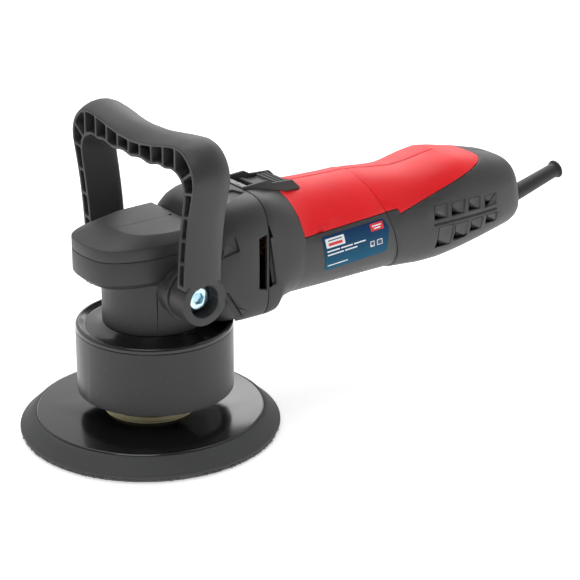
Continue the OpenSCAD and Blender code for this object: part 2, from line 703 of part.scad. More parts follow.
module shroud_cap() color(black) rotate_extrude() polygon([[24.1, 58.6], [shroud_r - 2.6, 58.6],
    [shroud_r - 2.6, shroud_z1 + 0.1], [shroud_r, shroud_z1 + 0.1], [shroud_r, shroud_z2 - 1.6],
    [shroud_r - 0.7, shroud_z2 - 0.4], [shroud_r - 2, shroud_z2], [shroud_r - 3, shroud_z2 - 0.7],
    [shroud_r - 5, 62.8], [36, 63.2], [31.6, 64.4], [29.6, 65.9], [24.1, 65.9]]);

// ---------- D handle ----------

// Outer and inner outlines of the handle's front face, from the foot to the middle of the bar: y, z.
handle_outer = [[51, 100], [51.2, 106], [52, 116], [53.4, 127], [55.6, 140], [58.6, 152], [60.6, 160],
    [60.4, 166.4], [57.4, 172.9], [51.5, 178], [44.5, 179.8], [36, 178.9], [24, 176.6], [12, 174.6],
    [0, 173.8]];
handle_inner = [[43.2, 100], [43.4, 106], [44.2, 116], [45.6, 127], [48, 140], [49.8, 149], [50.6, 155],
    [49.4, 160.6], [45, 164.6], [39, 166.2], [33, 165.2], [27, 165.8], [18, 163.8], [9, 164.9], [0, 163.4]];
handle_steps = 4;
outer_line = spline(handle_outer, handle_steps);
inner_line = spline(handle_inner, handle_steps);

// Cross section: x, place from the inner (0) to the outer (1) line, outward bulge.
handle_section = let (a = handle_x0, b = handle_x1) [[a, 0, 0], [a + 9, 0, -0.4], [b - 5, 0, -0.2],
    [b - 1.6, 0.12, 0], [b, 0.4, 0], [b, 0.72, 0], [b - 1, 0.96, 0], [b - 4, 1, 1.6], [b - 8, 1, 3.2],
    [0, 1, 3.6], [a + 8, 1, 3.1], [a + 4, 1, 1.9], [a, 1, 0]];

function handle_ring(i) = let (p = inner_line[i], q = outer_line[i], d = (q - p) / norm(q - p),
    bulge = 0.45 + 1.1 * i / (len(inner_line) - 1))
    [for (s = handle_section) let (v = p + (q - p) * s[1] + d * s[2] * bulge) [s[0], v[0], v[1]]];

// Struts between the open cells of the front face: y and z of both ends in a leg, y across the bar.
leg_struts = [[44, 114, 52, 116.5], [46, 128, 56, 130.5], [48, 142, 60, 144], [48, 155, 62, 158],
    [46, 160.5, 64, 173]];
bar_struts = [-42.8, -31.5, -20.2, -9, 2.1, 13.2, 24.4, 35.6, 46.9];
strut_t = 1.6;
cell_wall = 2;
cell_round = 0.8;
cell_depth = 17;

// A line moved towards another by the cell wall, from the first open station to the middle.
function cell_line(line, other) = [for (i = [2:len(line) - 1])
    line[i] + (other[i] - line[i]) / norm(other[i] - line[i]) * cell_wall];

// The cells' outline as seen from the front, from one leg over the bar to the other.
module cell_band() {
    low = cell_line(inner_line, outer_line);
    high = cell_line(outer_line, inner_line);
    last = len(low) - 1;
    polygon(concat(low, [for (i = [last - 1:-1:0]) [-low[i][0], low[i][1]]],
        [for (i = [0:last]) [-high[i][0], high[i][1]]], [for (i = [last - 1:-1:0]) high[i]]));
}

module handle_cells() translate([handle_x0 - 1, 0, 0]) rotate([90, 0, 90]) linear_extrude(cell_depth + 1)
    offset(r = cell_round, $fn = 12) offset(delta = -cell_round) difference() {
        cell_band();
        for (y = bar_struts) translate([y - strut_t / 2, 155]) square([strut_t, 40]);
        for (m = [0, 1], s = leg_struts) mirror([m, 0]) translate([s[0], s[1]])
            rotate(atan2(s[3] - s[1], s[2] - s[0])) translate([0, -strut_t / 2])
                square([norm([s[2] - s[0], s[3] - s[1]]), strut_t]);
    }

counterbore_y = 41;      // floor of the handle's counterbores, from the mid plane

module handle_half() difference() {
    union() {
        skin([for (i = [0:len(inner_line) - 1]) handle_ring(i)]);
        translate([pivot_x, foot_y, pivot_z]) rotate([90, 0, 0])
            cylinder(r = foot_r, h = foot_y - boss_y - 0.4);
    }
    translate([pivot_x, 60, pivot_z]) rotate([90, 0, 0]) cylinder(r = 9.2, h = 60 - counterbore_y);
    translate([pivot_x, 60, pivot_z]) rotate([90, 0, 0]) cylinder(r = 4.28, h = 40);
}

module d_handle() color(dark) difference() {
    both_sides() handle_half();
    handle_cells();
}

module handle_screws() color(steel) both_sides() translate([pivot_x, 0, pivot_z]) rotate([-90, 0, 0])
    difference() {
        union() {
            translate([0, 0, 26]) cylinder(r = 3.98, h = 13);
            translate([0, 0, 38]) cylinder(r = 4.2, h = 5);
            translate([0, 0, counterbore_y + 1.1]) cylinder(r = 6.2, h = 4);
        }
        translate([0, 0, counterbore_y + 2.6]) cylinder(r = 3.3, h = 5, $fn = 6);
    }

module handle_washers() color(steel) both_sides() translate([pivot_x, counterbore_y + 0.1, pivot_z])
    rotate([-90, 0, 0]) ring_z(0, 8.6, 4.25, 0.95);

// ---------- switch ----------

link_z = 124.2;
knob_half = 9.8;
knob_x = 66;
knob_travel = 6;
knob_z = 130.5;          // underside of the knob
module switch_bezel() color(dark) difference() {
    side_prism(bezel_outline, -bezel_half, bezel_half);
    translate([knob_x - knob_travel - 0.5, -knob_half - 0.4, knob_z - 0.3])
        cube([knob_travel + 40, 2 * knob_half + 0.8, 20]);
    translate([bezel_x0 - 1, -knob_half - 0.4, 134.4]) cube([20, 2 * knob_half + 0.8, 5]);
    translate([68.5, -3.8, 120]) cube([15, 7.6, 20]);
}

// The knob from the side: a thumb hollow, then three grip ribs.
knob_profile = concat([[0, 0], [0.3, 2.7], [1.6, 3.1], [5, 1.6], [9, 1.2], [12.6, 1.4]],
    [for (i = [0:2], p = [[0, 2.8], [1.4, 2.8], [1.6, 1.9], [2.6, 1.9]]) [13.2 + 2.8 * i + p[0], p[1]]],
    [[21.4, 1.9], [21.4, 0]]);
module switch_knob() color(dark) {
    side_prism([for (p = knob_profile) [knob_x + p[0], knob_z + p[1]]], -knob_half, knob_half);
    translate([75, -3.2, link_z + 0.95]) cube([7, 6.4, knob_z + 0.5 - link_z - 0.95]);
}
link_outline = [[74, link_z - 0.9], [74, link_z + 0.95], [111, link_z + 0.95], [126, 119.8], [169, 119.8],
    [169, 117.9], [125.4, 117.9], [110.4, link_z - 0.9]];
module switch_link() color(steel) side_prism(link_outline, -3.5, 3.5);

module switch_block() color(black) {
    translate([172.6, -10, 96]) cube([26, 20, 18]);
    translate([172.6, -5, 113.9]) cube([22, 10, 6]);
}

// ---------- speed wheel ----------

dial_x = 252.6;
dial_z = 97;
dial_slot = 3.4;
module speed_dial() color(black) translate([dial_x, 0, dial_z]) rotate([90, 0, 0]) {
    difference() {
        translate([0, 0, -2.8]) cylinder(r = 11.4, h = 5.6);
        for (i = [0:23]) rotate(15 * i) translate([11.5, 0, -4]) cylinder(r = 0.8, h = 8, $fn = 16);
    }
    translate([0, 0, -7]) cylinder(r = 1.5, h = 14);
}
module speed_board() color("darkgreen") difference() {
    union() {
        translate([233, -9, 90]) cube([1.6, 18, 14]);
        for (y = [-7.2, 4.2]) translate([234.6, y, 93]) cube([20.4, 3, 8]);
    }
    translate([dial_x, -20, dial_z]) rotate([-90, 0, 0]) cylinder(r = 1.55, h = 40);
    translate([dial_x, -4, dial_z]) rotate([-90, 0, 0]) cylinder(r = 12, h = 8);
}

gear_case();
gear_case_cap();
front_housing();
motor_housing();
bearing_plate();
top_cover_front();
top_cover_rear();
rear_shell_left();
rear_shell_right();
rating_label();
cord_guard();
cord_clamp();
stator_core();
stator_coils();
brush_holders();
brushes();
brush_springs();
motor_bearing_front();
motor_bearing_rear();
rear_bearing_seat();
spindle_bearing_upper();
spindle_bearing_lower();
spindle_seal();
shroud_skirt();
shroud_cap();
handle_screws();
handle_washers();
switch_bezel();
switch_block();
speed_board();
case_screws();
housing_screws();
armature_shaft();
armature_core();
armature_coils();
commutator();
fan();
pinion();
spindle_shaft();
bevel_gear();
gear_nut();
eccentric_weight();
pad_bearing();
pad_shaft();
zinc_ring();
pad_plate();
foam_pad();
hook_face();
d_handle();
switch_knob();
switch_link();
speed_dial();
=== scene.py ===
"""Looks of the dual action polisher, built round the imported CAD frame. Metres, +Z up."""
import json
import math
from random import Random

import bmesh
import bpy
from mathutils import Euler, Matrix, Vector
from mathutils.bvhtree import BVHTree


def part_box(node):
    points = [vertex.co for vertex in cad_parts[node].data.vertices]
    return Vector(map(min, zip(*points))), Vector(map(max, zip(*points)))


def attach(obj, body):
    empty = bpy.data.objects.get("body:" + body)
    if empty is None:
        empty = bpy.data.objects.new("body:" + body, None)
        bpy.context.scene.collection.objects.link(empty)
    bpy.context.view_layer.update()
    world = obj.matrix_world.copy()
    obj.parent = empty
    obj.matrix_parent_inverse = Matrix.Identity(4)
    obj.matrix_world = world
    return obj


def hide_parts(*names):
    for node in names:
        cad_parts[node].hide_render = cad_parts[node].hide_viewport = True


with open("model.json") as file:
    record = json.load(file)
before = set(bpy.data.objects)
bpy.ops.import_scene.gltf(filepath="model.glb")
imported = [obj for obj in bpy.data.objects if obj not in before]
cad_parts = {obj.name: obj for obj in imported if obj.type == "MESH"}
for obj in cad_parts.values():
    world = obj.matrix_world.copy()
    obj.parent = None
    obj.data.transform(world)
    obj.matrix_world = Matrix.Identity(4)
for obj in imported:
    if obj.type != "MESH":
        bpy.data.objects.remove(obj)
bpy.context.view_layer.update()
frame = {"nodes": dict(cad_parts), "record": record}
nodes = frame["nodes"]
rows = {row["node"]: row for row in frame["record"]["subparts"]}
bodies = frame["record"]["behaviour"]["bodies"]
body_of = {name: body for body, members in bodies.items() for name in members}
MM = 0.001


# ---------- sizes and settings: scene in metres, pieces in millimetres, angles in degrees ----------

CAMERA_AT = (-0.53084, -0.81657, 0.46896)
CAMERA_HEADING = 52.44              # degrees from +X towards +Y
CAMERA_DOWN = 21.7                  # degrees below the horizon
CAMERA_ROLL = 0.316                 # degrees
CAMERA_LENS = 114.8                 # millimetres, on a sensor of CAMERA_SENSOR
CAMERA_SENSOR = 36
CAMERA_NEAR = 0.01

TENT_FRONT = (-0.58, -0.76, 0.3)    # the way to the dim side of the white tent
TENT_FROM, TENT_TO = -0.3, 0.75     # where the tent starts to dim, and where it is dimmest
TENT_BRIGHT, TENT_DIM = 0.9, 0.22

LIGHTS_AIM = (0.09, 0, 0.09)
LIGHTS = (                          # name, place, size, watts
    ("key", (-0.7, -0.5, 1.3), (0.8, 0.8), 5),
    ("top", (0.25, 0.35, 1.3), (1.2, 0.8), 7),
    ("rim", (0.9, 0.8, 0.8), (0.8, 0.8), 4),
)

FLOOR_Z = -0.0003                   # just under the pad, so that the two faces never coincide
FLOOR_HALF = 3
FLOOR_ROUGH = 0.9
FLOOR_GLOW = 0.4

# Rounding of the finished nodes' edges, in millimetres.
EDGE_WIDTHS = {
    "gear_case": 0.5, "gear_case_cap": 0.6, "front_housing": 0.5, "motor_housing": 0.4,
    "top_cover_front": 0.5, "top_cover_rear": 0.5, "rear_shell_left": 0.45,
    "rear_shell_right": 0.45, "shroud_skirt": 0.4, "shroud_cap": 0.4, "switch_bezel": 0.5,
    "switch_knob": 0.6, "pad_plate": 0.3, "foam_pad": 0.4, "zinc_ring": 0.25, "d_handle": 0.45,
    "cord_guard": 0.5, "speed_dial": 0.3, "handle_screws": 0.3, "handle_washers": 0.2,
}

# Nodes whose shallow creases are rounded and kept crisp too, in degrees.
EDGE_WAYS = {
    "gear_case_cap": {"angle": 12, "sharp": 20},
    "gear_case": {"angle": 20, "sharp": 35},
    "switch_bezel": {"angle": 20, "sharp": 25},
    "switch_knob": {"angle": 20, "sharp": 25},
}
EDGE_SEGMENTS = 3
WELD = 0.01                         # vertices closer than this become one
FLAT_ANGLE = 0.4                    # faces that turn less than this, in degrees, become one

# The label from the side: lower left, upper left, upper right and lower right corner, the bend
# in its right edge, the rounding of its corners, its height over the housing, the grid of its mesh.
LABEL_CORNERS = [(99.8, 79.8), (95, 102.4), (141.6, 104.2), (145.6, 82.4)]
LABEL_BEND = (145.6, 98.4)
LABEL_ROUND = 1.6
LABEL_LIFT = 0.16
LABEL_GRID = 1.0
LABEL_SIDE = -1                     # the side of the housing that it is on, along Y
RAY_START = 0.1                     # metres from the middle plane, outside the housing

# Each block of the label's print: ink, then left, bottom, right and top as parts of the label,
# the rounding of its corners, and its height over the film.
LABEL_PRINT = [
    ("white", 0.04, 0.66, 0.34, 0.92, 0.6, 0.04),
    ("blue", 0.08, 0.84, 0.3, 0.87, 0.1, 0.06),
    ("red", 0.08, 0.71, 0.3, 0.79, 0.1, 0.06),
    ("red", 0.77, 0.74, 0.98, 0.95, 0.6, 0.04),
    ("white", 0.8, 0.86, 0.95, 0.895, 0.15, 0.06),
    ("white", 0.82, 0.79, 0.93, 0.825, 0.15, 0.06),
    ("white", 0.04, 0.545, 0.24, 0.585, 0.2, 0.04),
    ("white", 0.26, 0.545, 0.45, 0.585, 0.2, 0.04),
    ("white", 0.47, 0.545, 0.66, 0.585, 0.2, 0.04),
    ("white", 0.04, 0.44, 0.3, 0.48, 0.2, 0.04),
    ("white", 0.32, 0.44, 0.52, 0.48, 0.2, 0.04),
    ("white", 0.04, 0.12, 0.36, 0.155, 0.2, 0.04),
    ("white", 0.73, 0.3, 0.8, 0.47, 0.4, 0.04),
    ("blue", 0.74, 0.32, 0.79, 0.45, 0.3, 0.06),
    ("white", 0.84, 0.3, 0.93, 0.47, 0.4, 0.04),
    ("blue", 0.85, 0.32, 0.92, 0.45, 0.3, 0.06),
]

PLATE_TOP = 134.75                  # the light plate's face, just over the bezel's front step
PLATE_INSET = 0.4                   # from the bezel's front end
PLATE_GAP = 6.8                     # from the knob at rest, a little more than its travel
PLATE_THICK = 1
PLATE_BEVEL = 0.2
MARKS = ((1.2, -5, 2.6), (1.2, 3, 1.6), (2.6, -1, 1.2))     # from the front, start along Y, width
MARK_LENGTH = 0.8
MARK_SINK, MARK_RISE = 0.1, 0.06
MARK_BEVEL = 0.03

SEAM_FRONT, SEAM_REAR = 22, 4       # from the ends of the gear head's cap
SEAM_HALF = 0.15
SEAM_SINK, SEAM_RISE = 0.3, 0.06
SEAM_BEVEL = 0.03
DOT_HALF = 0.9
DOT_RISE = 0.08
DOT_BEVEL = 0.1

FUZZ_COUNT = 420
FUZZ_SEED = 4
FUZZ_SHIFT = 0.4                    # either way, as a part of the space between two loops
FUZZ_ROOT = 0.4                     # inside the cloth's edge
FUZZ_LENGTH = (0.5, 1.5)
FUZZ_HALF_WIDTH = (0.25, 0.6)
FUZZ_BOTTOM = (0.1, 0.5)
FUZZ_HEIGHT = (0.7, 1.3)
FUZZ_LEAN = 0.4                     # sideways at the tip, either way
FUZZ_TIP = 0.4                      # width of the tip as a part of the root's


# ---------- shader helpers ----------

MIX_FIRST, MIX_SECOND, MIX_RESULT = 6, 7, 2     # the colour sockets of a Mix node


def add_node(tree, kind, values=None, **settings):
    """A shader node with its settings and its input values."""
    made = tree.nodes.new(kind)
    for key, value in settings.items():
        setattr(made, key, value)
    for key, value in (values or {}).items():
        made.inputs[key].default_value = value
    return made


def noise_at(tree, coords, scale, detail=2.0, rough=0.5):
    """Noise at some coordinates."""
    values = {"Scale": scale, "Detail": detail, "Roughness": rough}
    made = add_node(tree, "ShaderNodeTexNoise", values)
    tree.links.new(coords, made.inputs["Vector"])
    return made.outputs["Fac"]


def span(tree, source, low, high, out_low, out_high):
    """Maps a value from one range to another, clamped."""
    made = add_node(tree, "ShaderNodeMapRange", {
        "From Min": low, "From Max": high, "To Min": out_low, "To Max": out_high})
    tree.links.new(source, made.inputs["Value"])
    return made.outputs["Result"]


def mixed(tree, factor, first, second):
    """Colour mix of two colours, each given as a tuple or as a socket."""
    made = add_node(tree, "ShaderNodeMix", data_type="RGBA")
    tree.links.new(factor, made.inputs["Factor"])
    for socket, value in ((made.inputs[MIX_FIRST], first), (made.inputs[MIX_SECOND], second)):
        if isinstance(value, tuple):
            socket.default_value = (*value, 1)
        else:
            tree.links.new(value, socket)
    return made.outputs[MIX_RESULT]


def bumped(tree, heights, distance):
    """A bump from the sum of (socket, weight) heights."""
    total = None
    for socket, weight in heights:
        part = add_node(tree, "ShaderNodeMath", {1: weight}, operation="MULTIPLY")
        tree.links.new(socket, part.inputs[0])
        if total is None:
            total = part.outputs[0]
        else:
            both = add_node(tree, "ShaderNodeMath", operation="ADD")
            tree.links.new(total, both.inputs[0])
            tree.links.new(part.outputs[0], both.inputs[1])
            total = both.outputs[0]
    bump = add_node(tree, "ShaderNodeBump", {"Strength": 1.0, "Distance": distance})
    tree.links.new(total, bump.inputs["Height"])
    return bump.outputs["Normal"]


def new_material(name):
    """An empty material with its node tree, its shader and the object's own coordinates."""
    mat = bpy.data.materials.new(name)
    mat.use_nodes = True
    tree = mat.node_tree
    shader = tree.nodes["Principled BSDF"]
    coords = add_node(tree, "ShaderNodeTexCoord").outputs["Object"]
    return mat, tree, shader, coords


# ---------- camera, floor and light ----------

def add_object(name, data):
    """A new object in the scene."""
    made = bpy.data.objects.new(name, data)
    bpy.context.scene.collection.objects.link(made)
    return made


def add_camera():
    """The camera of the main view."""
    data = bpy.data.cameras.new("camera")
    data.lens = CAMERA_LENS
    data.sensor_width = CAMERA_SENSOR
    data.clip_start = CAMERA_NEAR
    cam = add_object("camera", data)
    tilt, heading = math.radians(90 - CAMERA_DOWN), math.radians(CAMERA_HEADING - 90)
    look = Euler((tilt, 0, heading)).to_matrix()
    roll = Matrix.Rotation(math.radians(CAMERA_ROLL), 3, "Z")
    cam.matrix_world = Matrix.Translation(CAMERA_AT) @ (look @ roll).to_4x4()
    bpy.context.scene.camera = cam


def area_light(name, place, size, watts):
    """A rectangular lamp that faces the object."""
    data = bpy.data.lights.new(name, "AREA")
    data.shape = "RECTANGLE"
    data.size, data.size_y = size
    data.energy = watts
    lamp = add_object(name, data)
    lamp.location = place
    aim = Vector(LIGHTS_AIM) - Vector(place)
    lamp.rotation_euler = aim.to_track_quat("-Z", "Y").to_euler()


def add_tent():
    """White tent all round the object, dimmer on the camera's side."""
    world = bpy.data.worlds.new("studio")
    world.use_nodes = True
    tree = world.node_tree
    facing = add_node(tree, "ShaderNodeVectorMath", {1: TENT_FRONT}, operation="DOT_PRODUCT")
    way = add_node(tree, "ShaderNodeTexCoord").outputs["Generated"]
    tree.links.new(way, facing.inputs[0])
    strength = span(tree, facing.outputs["Value"], TENT_FROM, TENT_TO, TENT_BRIGHT, TENT_DIM)
    tree.links.new(strength, tree.nodes["Background"].inputs["Strength"])
    tree.nodes["Background"].inputs["Color"].default_value = (1, 1, 1, 1)
    bpy.context.scene.world = world


def add_floor():
    """The white floor."""
    mesh = bpy.data.meshes.new("floor")
    corners = [(x * FLOOR_HALF, y * FLOOR_HALF, FLOOR_Z)
               for x, y in ((-1, -1), (1, -1), (1, 1), (-1, 1))]
    mesh.from_pydata(corners, [], [(0, 1, 2, 3)])
    floor = add_object("floor", mesh)
    mat = bpy.data.materials.new("floor")
    mat.use_nodes = True
    shader = mat.node_tree.nodes["Principled BSDF"]
    shader.inputs["Base Color"].default_value = (1, 1, 1, 1)
    shader.inputs["Roughness"].default_value = FLOOR_ROUGH
    shader.inputs["Emission Color"].default_value = (1, 1, 1, 1)
    shader.inputs["Emission Strength"].default_value = FLOOR_GLOW
    mesh.materials.append(mat)


def add_studio():
    """Tent, lamps and floor, shown without a film look."""
    add_tent()
    bpy.context.scene.view_settings.view_transform = "Standard"
    for light in LIGHTS:
        area_light(*light)
    add_floor()


# ---------- materials ----------

def moulded(name, colour, worn, rough, grain=900.0, relief=0.00004, coat=0.0, shine=0.5):
    """Moulded plastic: eroded grain, faint clouds of colour, rubbed edges and dust specks."""
    mat, tree, shader, coords = new_material(name)
    clouds = noise_at(tree, coords, 28.0, 3.0)
    specks = noise_at(tree, coords, grain * 1.7, 1.0)
    fine = noise_at(tree, coords, grain, 3.0, 0.6)
    edge = add_node(tree, "ShaderNodeNewGeometry").outputs["Pointiness"]
    rub = span(tree, edge, 0.53, 0.6, 0.0, 0.55)
    lighter = tuple(c * 1.14 for c in colour)
    tone = mixed(tree, span(tree, clouds, 0.3, 0.7, 0.0, 1.0), colour, lighter)
    tone = mixed(tree, span(tree, specks, 0.6, 0.8, 0.0, 0.35), tone, worn)
    tone = mixed(tree, rub, tone, worn)
    dullness = span(tree, clouds, 0.25, 0.75, rough - 0.05, rough + 0.07)
    tree.links.new(tone, shader.inputs["Base Color"])
    tree.links.new(dullness, shader.inputs["Roughness"])
    tree.links.new(bumped(tree, [(fine, 1.0), (specks, 0.4)], relief), shader.inputs["Normal"])
    shader.inputs["Specular IOR Level"].default_value = shine
    shader.inputs["Coat Weight"].default_value = coat
    shader.inputs["Coat Roughness"].default_value = 0.12
    return mat


def metal(name, colour, rough, brushed=(1.0, 1.0, 1.0), streak=900.0, stain=None, metallic=1.0):
    """Metal with fine streaks along one direction, soft stains and small dents."""
    mat, tree, shader, coords = new_material(name)
    stretch = add_node(tree, "ShaderNodeMapping", {"Scale": brushed})
    tree.links.new(coords, stretch.inputs["Vector"])
    lines = noise_at(tree, stretch.outputs["Vector"], streak, 4.0, 0.6)
    clouds = noise_at(tree, coords, 90.0, 3.0)
    dents = noise_at(tree, coords, 420.0, 2.0)
    other = stain or tuple(c * 0.8 for c in colour)
    tone = mixed(tree, span(tree, clouds, 0.35, 0.7, 0.0, 1.0), colour, other)
    dullness = span(tree, lines, 0.3, 0.7, rough - 0.08, rough + 0.1)
    tree.links.new(tone, shader.inputs["Base Color"])
    shader.inputs["Metallic"].default_value = metallic
    tree.links.new(dullness, shader.inputs["Roughness"])
    tree.links.new(bumped(tree, [(lines, 1.0), (dents, 1.5)], 0.00002), shader.inputs["Normal"])
    return mat


def fuzz(name, colour, tip):
    """Short hook and loop cloth."""
    mat, tree, shader, coords = new_material(name)
    loops = noise_at(tree, coords, 1500.0, 3.0, 0.7)
    tufts = noise_at(tree, coords, 420.0, 2.0)
    tone = mixed(tree, span(tree, loops, 0.35, 0.7, 0.0, 1.0), colour, tip)
    tree.links.new(tone, shader.inputs["Base Color"])
    shader.inputs["Roughness"].default_value = 0.95
    shader.inputs["Sheen Weight"].default_value = 0.3
    tree.links.new(bumped(tree, [(loops, 1.0), (tufts, 0.6)], 0.0004), shader.inputs["Normal"])
    return mat


def label_film():
    """Printed film: deep blue at the top, lighter towards the bottom, with little shine."""
    mat, tree, shader, coords = new_material("label_film")
    low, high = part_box("rating_label")
    parts = add_node(tree, "ShaderNodeSeparateXYZ")
    tree.links.new(coords, parts.inputs["Vector"])
    level = span(tree, parts.outputs["Z"], low.z, high.z, 0.0, 1.0)
    cells = noise_at(tree, coords, 2600.0, 1.0)
    base = mixed(tree, level, (0.003, 0.105, 0.19), (0.002, 0.02, 0.09))
    ink = mixed(tree, span(tree, cells, 0.4, 0.7, 0.0, 0.2), base, (0.01, 0.07, 0.2))
    dullness = span(tree, noise_at(tree, coords, 60.0), 0.3, 0.7, 0.5, 0.6)
    ripple = bumped(tree, [(noise_at(tree, coords, 300.0), 1.0)], 0.00002)
    tree.links.new(ink, shader.inputs["Base Color"])
    tree.links.new(dullness, shader.inputs["Roughness"])
    tree.links.new(ripple, shader.inputs["Normal"])
    shader.inputs["Specular IOR Level"].default_value = 0.15
    return mat


def make_materials():
    """One material for each slot of the record, under the slot's name."""
    return {
        "case_plastic": moulded("case_plastic", (0.03, 0.03, 0.031), (0.09, 0.09, 0.09), 0.48),
        "red_cover": moulded("red_cover", (0.76, 0.006, 0.011), (0.85, 0.08, 0.08), 0.42,
                             grain=1200.0, relief=0.00002, shine=0.32),
        "guard_gloss": moulded("guard_gloss", (0.009, 0.009, 0.01), (0.04, 0.04, 0.04), 0.17,
                               grain=300.0, relief=0.00001, coat=0.3),
        "guard_satin": moulded("guard_satin", (0.016, 0.016, 0.017), (0.06, 0.06, 0.06), 0.33,
                               grain=500.0, relief=0.00001),
        "pad_foam": moulded("pad_foam", (0.042, 0.043, 0.044), (0.1, 0.1, 0.1), 0.62,
                            grain=700.0, relief=0.00006),
        "soft_black": moulded("soft_black", (0.02, 0.02, 0.021), (0.07, 0.07, 0.07), 0.55,
                              grain=800.0),
        "switch_grey": moulded("switch_grey", (0.17, 0.17, 0.175), (0.3, 0.3, 0.3), 0.5),
        "holder_resin": moulded("holder_resin", (0.3, 0.17, 0.07), (0.45, 0.3, 0.15), 0.6),
        "board_green": moulded("board_green", (0.02, 0.12, 0.05), (0.1, 0.3, 0.15), 0.5),
        "carbon": moulded("carbon", (0.03, 0.03, 0.03), (0.1, 0.1, 0.1), 0.7),
        "hook_cloth": fuzz("hook_cloth", (0.05, 0.05, 0.05), (0.3, 0.3, 0.3)),
        "label_film": label_film(),
        "steel": metal("steel", (0.6, 0.61, 0.63), 0.32, (1.0, 1.0, 12.0)),
        "zinc_screw": metal("zinc_screw", (0.72, 0.84, 0.9), 0.2, stain=(0.3, 0.6, 0.72)),
        "yellow_zinc": metal("yellow_zinc", (0.85, 0.8, 0.5), 0.32, (1.0, 1.0, 20.0),
                             stain=(0.75, 0.66, 0.4), metallic=0.6),
        "die_cast": metal("die_cast", (0.5, 0.51, 0.52), 0.5),
        "iron_core": metal("iron_core", (0.22, 0.22, 0.23), 0.55, (20.0, 1.0, 1.0)),
        "copper_wire": metal("copper_wire", (0.72, 0.33, 0.16), 0.3, (8.0, 1.0, 1.0),
                             streak=700.0),
    }


def make_inks():
    """Plain inks for the label's print, and a matte near-black that paints the shade of the dark dot
    on the gear head's cap.
    """
    return {
        "white": moulded("ink_white", (0.8, 0.82, 0.84), (0.7, 0.7, 0.7), 0.45, relief=0.00001),
        "red": moulded("ink_red", (0.7, 0.012, 0.02), (0.8, 0.1, 0.1), 0.45, relief=0.00001),
        # Near-black, matte and without shine: painted shade for the dark dot behind the gear head's
        # seam.
        "black": moulded("dot_painted_shade_black", (0.001, 0.001, 0.001), (0.002, 0.002, 0.002), 0.9,
                         shine=0.02),
        "blue": moulded("ink_blue", (0.01, 0.06, 0.14), (0.05, 0.1, 0.2), 0.4, relief=0.00001),
    }


# ---------- pieces made from the CAD nodes ----------

def settle(piece, material, body, slot, *replaced):
    """Gives a finished piece its material and its body, and hides the nodes it stands for; the slot
    is not used.
    """
    piece.data.materials.clear()
    piece.data.materials.append(material)
    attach(piece, body)
    if replaced:
        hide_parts(*replaced)
    return piece


def bake_modifiers(piece, sharp):
    """Applies the modifiers, then shades smooth except across edges sharper than the angle."""
    shown = piece.evaluated_get(bpy.context.evaluated_depsgraph_get())
    mesh = bpy.data.meshes.new_from_object(shown)
    old = piece.data
    piece.modifiers.clear()
    piece.data = mesh
    bpy.data.meshes.remove(old)
    mesh.shade_smooth()
    mesh.set_sharp_from_angle(angle=math.radians(sharp))


def round_edges(piece, width, angle=30, sharp=50):
    """Cleans a mesh and rounds its edges with real bevels."""
    bm = bmesh.new()
    bm.from_mesh(piece.data)
    bmesh.ops.remove_doubles(bm, verts=bm.verts, dist=WELD * MM)
    flat = math.radians(FLAT_ANGLE)
    bmesh.ops.dissolve_limit(bm, angle_limit=flat, verts=bm.verts, edges=bm.edges)
    bm.to_mesh(piece.data)
    bm.free()
    bevel = piece.modifiers.new("edges", "BEVEL")
    bevel.width = width * MM
    bevel.segments = EDGE_SEGMENTS
    bevel.limit_method = "ANGLE"
    bevel.angle_limit = math.radians(angle)
    bevel.use_clamp_overlap = False
    weights = piece.modifiers.new("weights", "WEIGHTED_NORMAL")
    weights.keep_sharp = True
    bake_modifiers(piece, sharp)


def finish_node(name, width, **how):
    """A finished copy of a CAD node, on the same body, with rounded edges."""
    piece = add_object(name + "_finished", nodes[name].data.copy())
    round_edges(piece, width, **how)
    slot = rows[name]["material_slot"]
    return settle(piece, materials[slot], body_of[name], slot, name)


# ---------- things the CAD leaves plain, in millimetres ----------

def piece_from(bm, name):
    """A new object from a finished bmesh, which is freed."""
    mesh = bpy.data.meshes.new(name)
    bm.to_mesh(mesh)
    bm.free()
    return add_object(name, mesh)


def block(name, low, high, bevel, material, slot):
    """A small box of the fixed body between two corners, with rounded edges."""
    bm = bmesh.new()
    bmesh.ops.create_cube(bm, size=1.0)
    for vert in bm.verts:
        place = [(low[i] + high[i]) / 2 + vert.co[i] * (high[i] - low[i]) for i in range(3)]
        vert.co = Vector(place) * MM
    piece = piece_from(bm, name)
    round_edges(piece, bevel)
    return settle(piece, material, "machine", slot)


def cut_across(bm, axis, reach):
    """Cuts a flat mesh across an axis into strips of the label's grid."""
    for i in range(1, math.ceil((max(reach) - min(reach)) / LABEL_GRID)):
        place = Vector(axis) * ((min(reach) + i * LABEL_GRID) * MM)
        whole = bm.verts[:] + bm.edges[:] + bm.faces[:]
        bmesh.ops.bisect_plane(bm, geom=whole, plane_co=place, plane_no=axis)


def draped(name, outline, lift, material):
    """A thin printed patch: the filled X-Z outline laid on the side of the motor housing."""
    skin = nodes["motor_housing"].data
    faces = [p.vertices for p in skin.polygons]
    tree = BVHTree.FromPolygons([v.co for v in skin.vertices], faces)
    bm = bmesh.new()
    bm.faces.new([bm.verts.new((x * MM, 0, z * MM)) for x, z in outline])
    cut_across(bm, (1, 0, 0), [x for x, z in outline])
    cut_across(bm, (0, 0, 1), [z for x, z in outline])
    for vert in bm.verts:
        start = Vector((vert.co.x, LABEL_SIDE * RAY_START, vert.co.z))
        hit = tree.ray_cast(start, Vector((0, -LABEL_SIDE, 0)))[0]
        vert.co = hit + Vector((0, LABEL_SIDE * lift * MM, 0))
    bmesh.ops.recalc_face_normals(bm, faces=bm.faces)
    piece = piece_from(bm, name)
    piece.data.shade_smooth()
    return settle(piece, material, "machine", "label_film")


